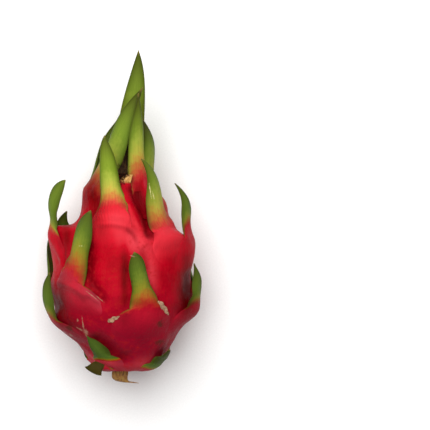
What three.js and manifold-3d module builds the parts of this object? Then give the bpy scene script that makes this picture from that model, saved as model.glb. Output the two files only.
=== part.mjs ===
// A red dragon fruit, as picked and lying on its side: an egg-shaped body whose leathery red skin
// rises in broad scales, each running out into a green bract, with a crown of long bracts round the
// pit where the flower withered. The withered flower stands in that pit, and the stub of the stem is
// at the other end.
// Millimetres. +Z is up and +Y runs along the fruit to its crown. The origin is the middle of the
// small flat spot that the fruit lies on.

import * as THREE from "three";
import { mergeVertices } from "three/addons/utils/BufferGeometryUtils.js";
import Module from "manifold-3d";

const wasm = await Module();
wasm.setup();

// The body's axis and its widest girth, from the middle of the flat spot
const CENTRE = new THREE.Vector3(-1.2, -4.3, 43.6);

// Half outline of the body, from the stem's end, over the rim of the crown, to the floor of the pit:
// distance from the axis, and place along it
const OUTLINE = [
  [0.3, -53.5], [9, -53.7], [17.5, -51.4], [24, -46.2], [29.8, -38], [35.6, -27.5], [40.8, -14],
  [42.8, 0], [41.8, 13], [38.2, 25], [32.3, 36], [26.8, 46], [23.4, 54.5], [21.6, 61.5],
  [18, 69], [13.6, 72.5], [10.2, 69], [8.8, 60], [6, 53], [0.3, 51.5],
];
const RIM_Y = 70;

// The axis leans sideways towards the stem, and a little towards the crown
const LEAN = { stem: 3, crown: 0.3, calm: 8, length: 40 };

// The skin swells below each bract and sinks in the angle above it, less towards the stem's end.
const SWELL_WIDTH = 15;
const ANGLE = { depth: 1.6, width: 8, length: 6, above: 6 };
const CALM_RADIUS = 24;

// The scale below a bract is a plate that rises out of the skin: how deep its foot is sunk, how thick
// its foot is, how steadily it rises, and how far its margins sink back on the way down
const PLATE = { sunk: 0.4, foot: 1.2, rise: 1.25, margin: 0.7 };
const TIP_THICK = 1.1;
const EDGE_FULLNESS = 3; // 2 is an ellipse across the blade

// The bracts, from the stem's end to the crown.
// angle: round the fruit from its top, towards +X, in degrees. at: the root's place along the axis.
// plate: length, half width and height of the scale below the root. blade: half width and thickness.
// bend, tip: where the blade bends and where it ends, from its root: sideways, along and outwards.
// cup: how far the blade's edges turn in, in radians. narrow: share of the width lost at its neck.
// sharp: a high figure gives a blunt end. twist: in degrees, along the blade. lean: how far the blade
// leaves its root sideways, in degrees. draw: a high figure gives the plate a rounder shoulder.
// skew: how much lower the plate's +X margin starts. swell: height of the skin's swelling, how far
// below the root it is highest, and how far it reaches down and up from there.
const PLAIN = {
  cup: 0.7, narrow: 0, sharp: 3, twist: 0, lean: 0, draw: 1.5, skew: 0, swell: [1.9, 12, 13, 8],
};
const BRACTS = [
  // Round the stem
  { angle: -37, at: -45, plate: [14, 19, 2.4], blade: [7, 2.2],
    bend: [-2, 6, 4.4], tip: [-5.4, 14, 10], sharp: 1.7, cup: 0.4 },
  { angle: 70, at: -49, plate: [12, 16, 2.2], blade: [9, 2.2],
    bend: [0.6, 3.4, 6], tip: [-0.6, 9, 7.9], sharp: 6, cup: 0.4 },
  { angle: -48, at: -51.5, plate: [8, 11, 1.8], blade: [5.6, 2.2],
    bend: [-4, -1.4, 4.5], tip: [-8, 0.8, 10], sharp: 3, cup: 0.3 },
  { angle: -118, at: -46, plate: [12, 18, 2.2], blade: [8, 2.2],
    bend: [1, 5, 4], tip: [2, 12, 6], sharp: 2.2, cup: 0.4 },
  { angle: 122, at: -44, plate: [13, 19, 2.2], blade: [8, 2.2],
    bend: [0, 6, 4], tip: [1.5, 13, 6], sharp: 2, cup: 0.4 },
  { angle: 176, at: -47, plate: [11, 17, 2], blade: [7.5, 2.2],
    bend: [0, 4.5, 4.5], tip: [-1, 10, 6.5], sharp: 2.4, cup: 0.3 },
  // The lower half of the body
  { angle: 21, at: -12, plate: [27, 31, 3.6], blade: [9.4, 3],
    bend: [-6, 20.5, 8], tip: [-9.6, 34.5, 8], sharp: 8, cup: 0.9, narrow: 0.3, draw: 1.6, skew: -2 },
  { angle: 82, at: -13, plate: [26, 27, 3.2], blade: [9, 2.8],
    bend: [-0.8, 14, 3.4], tip: [-1.2, 29, -0.9], sharp: 2.6, narrow: 0.15, twist: -34,
    swell: [4.8, 0, 7, 5] },
  { angle: -80, at: -20, plate: [24, 26, 3.2], blade: [10, 2.8],
    bend: [1, 16, 6.4], tip: [1.6, 31, 2.2], sharp: 2.6, narrow: 0.2, twist: 45,
    swell: [6, 0, 9, 4] },
  { angle: 138, at: -26, plate: [24, 26, 3], blade: [8, 2.8],
    bend: [1, 16, 7], tip: [3, 31, 5.5], sharp: 3, narrow: 0.2 },
  { angle: -140, at: -28, plate: [24, 26, 3], blade: [8, 2.8],
    bend: [-1, 16, 8], tip: [-3, 32, 7.5], sharp: 3, narrow: 0.2 },
  // The upper half of the body
  { angle: -43, at: 6, plate: [28, 30, 3.6], blade: [9.2, 3.2],
    bend: [5.6, 27, 3.4], tip: [9, 42.4, -7], sharp: 6.5, cup: 0.9, narrow: 0.05, draw: 1.4, skew: 6 },
  { angle: 81, at: 27, plate: [27, 34, 3.4], blade: [9, 2.8],
    bend: [0, 22, 2.4], tip: [-3.5, 35.4, -9.8], sharp: 2.2, narrow: 0.2, twist: -40,
    swell: [6.8, 0.5, 12, 5] },
  { angle: -84, at: 31, plate: [28, 25, 3.4], blade: [9.6, 2.8],
    bend: [1, 16, 4.8], tip: [3, 31, -9.4], sharp: 9, narrow: 0.36, twist: 50, draw: 1.2,
    swell: [12, -1.5, 9, 4] },
  { angle: -108, at: 1, plate: [26, 26, 3], blade: [9.4, 2.6],
    bend: [2, 17, 2.8], tip: [2.4, 34, -0.6], sharp: 2.6, narrow: 0.1, swell: [4.4, 3, 11, 8] },
  { angle: 106, at: 2, plate: [26, 26, 3], blade: [8, 2.8],
    bend: [-2, 14, -2], tip: [-4, 25, -10], sharp: 3, narrow: 0.2, swell: [4.6, 6, 13, 8] },
  { angle: -112, at: 27, plate: [24, 24, 2.8], blade: [9, 2.6],
    bend: [0.6, 11, 3], tip: [1, 18.5, -4], twist: -30, sharp: 2.2, cup: 0.5 },
  { angle: 160, at: 14, plate: [25, 25, 2.4], blade: [8, 2.8],
    bend: [1, 16, 1.5], tip: [2, 34, -8], sharp: 3, narrow: 0.2 },
  { angle: -158, at: 22, plate: [24, 24, 2.4], blade: [7.5, 2.8],
    bend: [-1, 17, 1], tip: [-2, 33, -9], sharp: 3, narrow: 0.2 },
  // The shoulder
  { angle: 57, at: 36, plate: [29, 26, 3.6], blade: [11, 3.2],
    bend: [-8.2, 31, 1.4], tip: [-18.6, 44, -7.6], sharp: 2.4, cup: 0.9, narrow: 0.02, draw: 1.15, skew: -3 },
  { angle: -13, at: 46, plate: [30, 21, 3.6], blade: [9.8, 3.6],
    bend: [-2, 33.2, 8], tip: [-2.4, 49, 5], sharp: 4, cup: 1.1, narrow: 0.25, draw: 1.1 },
  { angle: 140, at: 42, plate: [22, 22, 2.8], blade: [8.5, 2.8],
    bend: [-2, 14, 2], tip: [-3, 24, -6], sharp: 2.6, narrow: 0.1 },
  { angle: -172, at: 54, plate: [20, 20, 2.4], blade: [8, 2.8],
    bend: [1, 24, 4], tip: [2, 42, 1], sharp: 2.6, narrow: 0.1 },
  // The crown
  { angle: 8, at: 65, plate: [20, 12, 1.6], blade: [3.8, 1.4],
    bend: [-0.5, 3, 2.4], tip: [4.6, 6.4, 0.6], sharp: 4, cup: 0.3 },
  { angle: -60, at: 62, plate: [22, 12, 3], blade: [11.4, 2.8],
    bend: [8.6, 40, -15.6], tip: [13.9, 65.5, -31], sharp: 2.4, cup: 1, twist: 40, lean: 25,
    swell: [1.2, 3, 8, 8] },
  { angle: 44, at: 61, plate: [20, 13, 2.2], blade: [8.8, 2.8],
    bend: [-7, 38, 1.6], tip: [-1.4, 63, -5.6], sharp: 2.6, cup: 1, draw: 1.1 },
  { angle: 78, at: 60, plate: [20, 16, 2.4], blade: [13.4, 2.6],
    bend: [2.8, 28, 1.2], tip: [0, 48.5, -10.6], sharp: 2.2, cup: 0.9, twist: -24 },
  { angle: 172, at: 62, plate: [18, 16, 2.4], blade: [10.5, 2.8],
    bend: [-10.4, 63, -14], tip: [-10.8, 91, -21], sharp: 3.4, cup: 0.6, narrow: 0.08 },
  { angle: -122, at: 60, plate: [16, 11, 2.4], blade: [8, 2.6],
    bend: [-3.6, 27, -3], tip: [-15, 47, -10], sharp: 2.6, cup: 0.9, swell: [1.2, 3, 8, 8] },
  { angle: 126, at: 60, plate: [18, 16, 2.4], blade: [8, 2.6],
    bend: [-3, 22, -1], tip: [-6, 36, -11], sharp: 2.6, cup: 0.9 },
];

// The withered flower, from the pit's floor to its ragged top: radius, and place along the axis
const FLOWER = [[5.2, 53.2], [7.4, 58], [7.8, 65], [6.9, 71], [5.2, 77], [4.9, 85], [5.6, 92], [4.6, 97]];
const FLOWER_FLUTES = { count: 7, depth: 0.09 };
const FLOWER_LEAN = -1.6; // sideways, from its foot to its top

// The stub of the stem and the dry twig on it: radius and middle of each section, X and then Y
const STEM = [
  [4.6, -0.6, -52.2], [5.2, -1.2, -58], [4, -0.4, -60.8], [1.4, 3.2, -62.8], [0.6, 7.5, -63.3],
];
const TWIG_END = [11.3, -63.8];
const STEM_FLATNESS = 0.7;
const GAP = 0.3; // between pieces that touch

const COLOURS = { skin: 0xc0202c, flower: 0x5a3d1e, stem: 0x86571f };

// How finely the faceted solids are made
const BODY_COLUMNS = 40;
const BODY_ROWS = 40;
const ACROSS_TOP = [1, 0.74, 0.38, 0, -0.38, -0.74, -1];
const ACROSS_BACK = [-0.55, 0, 0.55];
const PLATE_ROWS = 4;
const BLADE_ROW = 8;

const mix = (a, b, t) => a + (b - a) * t;
const smooth = (t) => THREE.MathUtils.smoothstep(t, 0, 1);
const bell = (a, b) => Math.exp(-(a * a + b * b) / 2);
const wrap = (angle) => Math.atan2(Math.sin(angle), Math.cos(angle));
const outward = (angle) => new THREE.Vector3(Math.sin(angle), 0, Math.cos(angle));
const sideways = (angle) => new THREE.Vector3(Math.cos(angle), 0, -Math.sin(angle));
const alongAxis = new THREE.Vector3(0, 1, 0);

const outline = new THREE.SplineCurve(OUTLINE.map(([r, y]) => new THREE.Vector2(r, y)));
outline.arcLengthDivisions = 600;
const OUTLINE_LENGTH = outline.getLength();

// The outline at a distance from the stem's end, measured along it: radius, place and outward normal.
function wall(along) {
  const share = THREE.MathUtils.clamp(along / OUTLINE_LENGTH, 0, 1);
  const point = outline.getPointAt(share);
  const tangent = outline.getTangentAt(share);
  return { r: point.x, y: point.y, nr: tangent.y, ny: -tangent.x };
}

// The outline walked in short steps: distance along it, and place along the axis.
const STEPS = Array.from({ length: 801 }, (_, i) => (i / 800) * OUTLINE_LENGTH);
const TOP_OF_RIM = STEPS.reduce((best, along) => (wall(along).y > wall(best).y ? along : best));

// The distance along the outline at which its outer wall reaches a place along the axis.
const wallAt = (y) => STEPS.find((along) => wall(along).y >= y || along >= TOP_OF_RIM);
const RIM = wallAt(RIM_Y);

const bracts = BRACTS.map((given) => {
  const b = { ...PLAIN, ...given };
  return { ...b, angle: THREE.MathUtils.degToRad(b.angle), along: wallAt(b.at) };
});

// How far the skin stands over the plain outline, from every scale's swelling and the angle above it.
function relief(angle, along, r) {
  let height = 0;
  for (const b of bracts) {
    const across = r * wrap(angle - b.angle);
    const up = along - b.along;
    const [swell, below, length, drop] = b.swell;
    const over = up + below;
    height += swell * bell(across / SWELL_WIDTH, over / (over < 0 ? length : drop));
    height -= ANGLE.depth * bell(across / ANGLE.width, (up - ANGLE.above) / ANGLE.length);
  }
  return height * smooth(r / CALM_RADIUS) * (1 - smooth((along - RIM + 6) / 8));
}

// How far the axis has leaned sideways at a place along it.
function leaned(y) {
  const toStem = LEAN.stem * smooth((-y - LEAN.calm) / LEAN.length);
  return toStem + LEAN.crown * smooth((y - LEAN.calm) / LEAN.length);
}

// A point at a height over the skin, at an angle round the fruit and a distance along its outline.
function skin(angle, along, height = 0) {
  const w = wall(along);
  const out = relief(angle, along, w.r) + height;
  const y = w.y + out * w.ny;
  return outward(angle)
    .multiplyScalar(w.r + out * w.nr)
    .add(new THREE.Vector3(leaned(y), y, 0))
    .add(CENTRE);
}

// Points round a blade: distance sideways as a share of the half width, height as a share of half
// the thickness. The figure is fuller at its edges than an ellipse.
const SECTION = [...ACROSS_TOP.map((across) => [across, 1]), ...ACROSS_BACK.map((across) => [across, -1])]
  .map(([across, face]) => [across, face * (1 - Math.abs(across) ** EDGE_FULLNESS) ** 0.5]);

// The middle of the plate, at a share of the way down it: place along the outline, and height.
function plateMiddle(b, down) {
  const [length, , height] = b.plate;
  const halfThick = mix(b.blade[1], PLATE.foot, down) / 2;
  const lifted = (height + PLATE.sunk) * (1 - down ** b.draw) ** PLATE.rise;
  const along = Math.max(b.along - length * down ** b.draw, 1);
  return { along, height: lifted - PLATE.sunk - halfThick, halfThick };
}

// One ring of the plate, where the bract is still part of the skin: it follows the skin, rises out of
// it, and draws in from the foot's width to the blade's, so that its edges run out as two ridges.
function plateRing(b, down) {
  const { along, height, halfThick } = plateMiddle(b, down);
  const half = mix(b.blade[0], b.plate[1], down);
  const turnRadius = Math.max(wall(along).r, half * 0.7);
  const margin = PLATE.margin * smooth(down / 0.7) * (height + PLATE.sunk + halfThick);
  return SECTION.map(([side, rise]) => {
    const angle = b.angle + (side * half) / turnRadius;
    const place = Math.max(along - b.skew * side, 1);
    return skin(angle, place, height - margin * side ** 2 + rise * halfThick);
  });
}

// The blade's middle line: a curve that leaves the skin as the plate does, to the bend and the tip.
function bladeLine(b) {
  const middle = (down) => {
    const { along, height } = plateMiddle(b, down);
    return skin(b.angle, along, height);
  };
  const start = middle(0);
  const out = outward(b.angle);
  const leaving = start.clone().sub(middle(0.15)).normalize();
  leaving.applyAxisAngle(out, -THREE.MathUtils.degToRad(b.lean));
  const place = ([side, along, height]) => start.clone()
    .addScaledVector(sideways(b.angle), side)
    .addScaledVector(alongAxis, along)
    .addScaledVector(out, height);
  const tip = place(b.tip);
  const reach = 0.3 * tip.distanceTo(start);
  const early = start.clone().addScaledVector(leaving, reach);
  return new THREE.CubicBezierCurve3(start, early, place(b.bend), tip);
}

// One ring of the free blade: the section bent round a circle that tightens from the body's to the
// blade's own cup, and turned by the twist.
function bladeRing(b, line, up) {
  const [wide, thick] = b.blade;
  const centre = line.getPoint(up);
  const forward = line.getTangent(up);
  const face = outward(b.angle).projectOnPlane(forward).normalize();
  face.applyAxisAngle(forward, THREE.MathUtils.degToRad(b.twist) * smooth(up));
  const side = new THREE.Vector3().crossVectors(forward, face);
  const root = wall(b.along);
  const bow = mix(root.nr / root.r, b.cup / wide, smooth(up / 0.35));
  const half = wide * (1 - b.narrow * smooth(up / 0.4)) * (1 - up ** b.sharp);
  const halfThick = mix(thick, TIP_THICK, up) / 2;
  return SECTION.map(([across, rise]) => {
    const turn = across * half * bow;
    const radius = 1 / bow + rise * halfThick;
    return centre.clone()
      .addScaledVector(face, radius * Math.cos(turn) - 1 / bow)
      .addScaledVector(side, radius * Math.sin(turn));
  });
}

// A whole bract. What the blade's first ring misses the plate's last ring by fades out along it.
function bractRings(b) {
  const rings = [];
  for (let i = 0; i <= PLATE_ROWS; i++) rings.push(plateRing(b, 1 - i / PLATE_ROWS));
  const line = bladeLine(b);
  const first = bladeRing(b, line, 0);
  const missed = rings[PLATE_ROWS].map((point, k) => point.clone().sub(first[k]));
  const rows = Math.max(Math.round(line.getLength() / BLADE_ROW), 3);
  for (let j = 1; j < rows; j++) {
    const up = j / rows;
    const ring = bladeRing(b, line, up);
    ring.forEach((point, k) => point.addScaledVector(missed[k], 1 - smooth(up / 0.4)));
    rings.push(ring);
  }
  rings.push([line.getPoint(1)]);
  return rings;
}

const middleOf = (ring) =>
  ring.reduce((sum, point) => sum.add(point), new THREE.Vector3()).divideScalar(ring.length);

// A closed surface over rings of points, with each end drawn to a point in its middle.
function overRings(rings) {
  const whole = rings.filter((ring) => ring.length > 1);
  const count = whole[0].length;
  const points = whole.flat();
  const start = points.push(middleOf(rings[0])) - 1;
  const end = points.push(middleOf(rings.at(-1))) - 1;
  const last = (whole.length - 1) * count;
  const faces = [];
  for (let k = 0; k < count; k++) {
    const next = (k + 1) % count;
    for (let row = 0; row < last; row += count)
      faces.push(row + k, row + count + k, row + next, row + next, row + count + k, row + count + next);
    faces.push(start, k, next, end, last + next, last + k);
  }
  const geometry = new THREE.BufferGeometry().setFromPoints(points);
  geometry.setIndex(faces);
  return geometry;
}

// A geometry as a solid that can be joined and cut, and back again.
function solid(geometry) {
  const bare = new THREE.BufferGeometry().setAttribute("position", geometry.getAttribute("position"));
  bare.setIndex(geometry.getIndex());
  const merged = mergeVertices(bare);
  return new wasm.Manifold(new wasm.Mesh({
    numProp: 3,
    vertProperties: new Float32Array(merged.getAttribute("position").array),
    triVerts: new Uint32Array(merged.getIndex().array),
  }));
}

function geometryOf(made) {
  const { vertProperties, triVerts } = made.getMesh();
  return new THREE.BufferGeometry()
    .setAttribute("position", new THREE.BufferAttribute(vertProperties, 3))
    .setIndex(new THREE.BufferAttribute(triVerts, 1));
}

function body() {
  const rings = Array.from({ length: BODY_ROWS + 1 }, (_, i) =>
    Array.from({ length: BODY_COLUMNS }, (_, k) =>
      skin((-2 * Math.PI * k) / BODY_COLUMNS, (i / BODY_ROWS) * OUTLINE_LENGTH)));
  return solid(overRings(rings));
}

// Everything under the surface that the fruit lies on, which leaves the flat spot.
function underneath() {
  const size = 400;
  const block = new THREE.BoxGeometry(size, size, size);
  return solid(block.translate(0, 0, -size / 2));
}

// The withered flower, or the room that it needs when it is grown by the gap.
function flower(grow = 0) {
  const columns = 28;
  const [low, high] = [FLOWER[0][1], FLOWER.at(-1)[1]];
  const rings = FLOWER.map(([radius, y], i) =>
    Array.from({ length: columns }, (_, k) => {
      const angle = (-2 * Math.PI * k) / columns;
      const flute = 1 + FLOWER_FLUTES.depth * Math.cos(FLOWER_FLUTES.count * angle + y / 20);
      const end = i === 0 ? -grow : i === FLOWER.length - 1 ? grow : 0;
      const lean = FLOWER_LEAN * ((y - low) / (high - low));
      return outward(angle).multiplyScalar(radius * flute + grow)
        .add(new THREE.Vector3(lean, y + end, 0))
        .add(CENTRE);
    }));
  return solid(overRings(rings));
}

// The stub of the stem with its twig, or the room that it needs when it is grown by the gap.
function stem(grow = 0) {
  const columns = 12;
  const rings = STEM.map(([radius, x, y], i) =>
    Array.from({ length: columns }, (_, k) => {
      const angle = (-2 * Math.PI * k) / columns;
      const dx = (radius + grow) * Math.cos(angle);
      const dz = (radius * STEM_FLATNESS + grow) * Math.sin(angle);
      const tilt = dx * 0.12 * i;
      return new THREE.Vector3(x + dx, y + tilt + (i === 0 ? grow : 0), dz).add(CENTRE);
    }));
  rings.push([new THREE.Vector3(TWIG_END[0], TWIG_END[1], 0).add(CENTRE)]);
  return solid(overRings(rings));
}

// The body with all its bracts, as one solid, with room for the flower and the stem.
function fruit() {
  const grown = bracts.reduce((joined, b) => joined.add(solid(overRings(bractRings(b)))), body());
  const cut = grown.subtract(underneath()).subtract(flower(GAP)).subtract(stem(GAP));
  return cut.decompose().sort((a, b) => b.volume() - a.volume())[0];
}

function piece(name, made, colour, roughness) {
  const material = new THREE.MeshStandardMaterial({ color: colour, roughness, metalness: 0 });
  const mesh = new THREE.Mesh(geometryOf(made), material);
  mesh.name = name;
  return mesh;
}

const dragonFruit = new THREE.Group();
dragonFruit.add(
  piece("fruit", fruit(), COLOURS.skin, 0.45),
  piece("withered_flower", flower(), COLOURS.flower, 0.9),
  piece("stem_stub", stem(), COLOURS.stem, 0.85),
);

export default dragonFruit;
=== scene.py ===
"""A whole red dragon fruit lying on its side, seen from straight above.

Lengths in the tables are millimetres from the middle of the body's widest girth, with +Y along the
fruit to its crown and +Z up. Meshes are in metres, in the frame of the solids.
"""

import math

import bpy
import numpy as np
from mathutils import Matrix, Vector


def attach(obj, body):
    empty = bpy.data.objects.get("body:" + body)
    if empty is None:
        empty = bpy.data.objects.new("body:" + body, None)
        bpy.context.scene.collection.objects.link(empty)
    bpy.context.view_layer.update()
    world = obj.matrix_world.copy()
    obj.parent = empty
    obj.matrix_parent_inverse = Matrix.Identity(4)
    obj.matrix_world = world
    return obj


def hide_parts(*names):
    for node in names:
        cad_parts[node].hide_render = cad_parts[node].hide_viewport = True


bl_info = {
    "name": "Dragon Fruit",
    "version": (1, 0, 0),
    "blender": (4, 5, 0),
    "location": "View3D > Sidebar > Dragon Fruit",
    "description": "Builds a dragon fruit with its scales, bracts, withered flower and stem",
    "category": "Add Mesh",
}

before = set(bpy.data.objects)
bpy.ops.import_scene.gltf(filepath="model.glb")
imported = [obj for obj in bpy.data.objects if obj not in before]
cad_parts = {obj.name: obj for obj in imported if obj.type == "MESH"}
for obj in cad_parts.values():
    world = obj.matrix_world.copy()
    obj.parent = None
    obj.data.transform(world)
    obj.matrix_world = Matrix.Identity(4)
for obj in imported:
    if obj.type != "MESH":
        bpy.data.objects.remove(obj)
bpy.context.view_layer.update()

MM = 0.001
BODY = "root"

# The body's axis and widest girth, from the middle of the flat spot
CENTRE = np.array([-1.2, -4.3, 43.6])

# Half outline of the body, from the stem's end over the rim to the pit's floor: radius, and place
OUTLINE = np.array([
    [0.3, -53.5], [9, -53.7], [17.5, -51.4], [24, -46.2], [29.8, -38], [35.6, -27.5], [40.8, -14],
    [42.8, 0], [41.8, 13], [38.2, 25], [32.3, 36], [26.8, 46], [23.4, 54.5], [21.6, 61.5],
    [18, 69], [13.6, 72.5], [10.2, 69], [8.8, 60], [6, 53], [0.3, 51.5],
])
RIM_Y = 70
FLAT_LIFT = 0.12  # keeps the body's flat spot just inside that of the scales

# The axis leans sideways towards the stem and a little towards the crown
LEAN = {"stem": 3, "crown": 0.3, "calm": 8, "length": 40}

# The skin swells below each bract and sinks in the angle above it, less towards the stem's end.
# A bract's swell is its height, how far below the root it is highest, and its reach down and up.
SWELL_WIDTH = 15
ANGLE = {"depth": 1.6, "width": 8, "length": 6, "above": 6}
CALM_RADIUS = 24  # the relief fades out where the body is thinner than this
RIM_FADE = 8  # and over this length at the rim of the pit
LUMP_HEIGHT = 0.6
SIDE_FADE = 8  # the folds' painted shade and painted highlight fade out over this height, where the sides turn down

# Folds of the upper side, seen from above: height or depth, half width, then the X and Y that each
# passes through
FOLDS = [
    # The crease under the crown's front bract and the ridge over it
    (-2, 2, [(-17, 36.4), (-11.4, 38.7), (-4.2, 39), (2.9, 37.7), (8.8, 33.8), (12, 28.6), (13.7, 22)]),
    (1.3, 2.6, [(-15, 41.6), (-6.2, 42.4), (1.6, 41.4), (7, 38.4)]),
    # The ridge that runs down from that bract's right margin, and the valley beside it
    (1.7, 2.3, [(2, 62), (5, 52), (9, 43.6), (12, 35.8), (14.2, 27.3), (14.6, 22)]),
    (-3.4, 3.2, [(6.4, 68), (9.4, 58.5), (13, 50.7), (16.6, 42.3), (18.2, 34.5), (17.2, 27)]),
    # The groove and the curved strips right of the left bract
    (-2.6, 3.4, [(-18.6, 33), (-20.6, 19.5), (-20.6, 8.5), (-17.6, -0.7), (-12, -8.5), (-6, -13.7)]),
    (1.0, 1.0, [(-22.8, 2), (-19.6, -4.8), (-15, -9), (-9.6, -12.6)]),
    (0.8, 0.9, [(-20.4, 3), (-16.6, -3), (-11, -8)]),
    # A soft crease across the right bulge, and where it meets the middle one
    (-0.9, 2.4, [(19.8, 24.7), (28.3, 23.4), (36.7, 25.4), (41, 28)]),
    (-1.2, 1.8, [(14, 26), (16.4, 18), (17.6, 8)]),
    # Pleats of the left wing, and the ridge along its top
    (0.8, 1.0, [(-43, 35), (-42.2, 22.8), (-41.6, 12)]),
    (-1.0, 1.0, [(-39.8, 33), (-39.4, 22.8), (-39.3, 12)]),
    (0.7, 0.9, [(-37.2, 32), (-37.4, 21.5), (-38, 11)]),
    (-0.8, 0.9, [(-34.6, 32), (-35, 22), (-36.4, 11)]),
    (1.0, 1.6, [(-42.6, 38.4), (-36.7, 35.4), (-31.5, 37), (-25.7, 42.9), (-21.8, 48)]),
    # The light facet below the left bract
    (0.9, 1.3, [(-43, 3), (-32.2, 1.3), (-25, -1.6), (-18.6, -8)]),
    (-0.8, 2.0, [(-42, -1), (-33, -3), (-26, -6.4), (-20, -12)]),
    # The shaded angles above the stem's left bract and behind the right one
    (-2.2, 3, [(-20, -30), (-12, -37.5), (-3, -45.5), (6, -48)]),
    (-1.4, 3.6, [(41, 12), (42, 0), (40, -12), (33, -20)]),
]
FOLD_FADE = 0.16  # share of a fold's length over which each end fades
PLEATS = {"height": 0.45, "spacing": 2.1, "middle": (-9, 44.5), "reach": (5.5, 6)}

# The scale below a bract: how deep and thick its foot is, how it rises, how its margins sink
PLATE = {"sunk": 0.4, "foot": 1.2, "rise": 1.25, "margin": 0.7}
TIP_THICK = 1.1
EDGE_FULLNESS = 3
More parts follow.
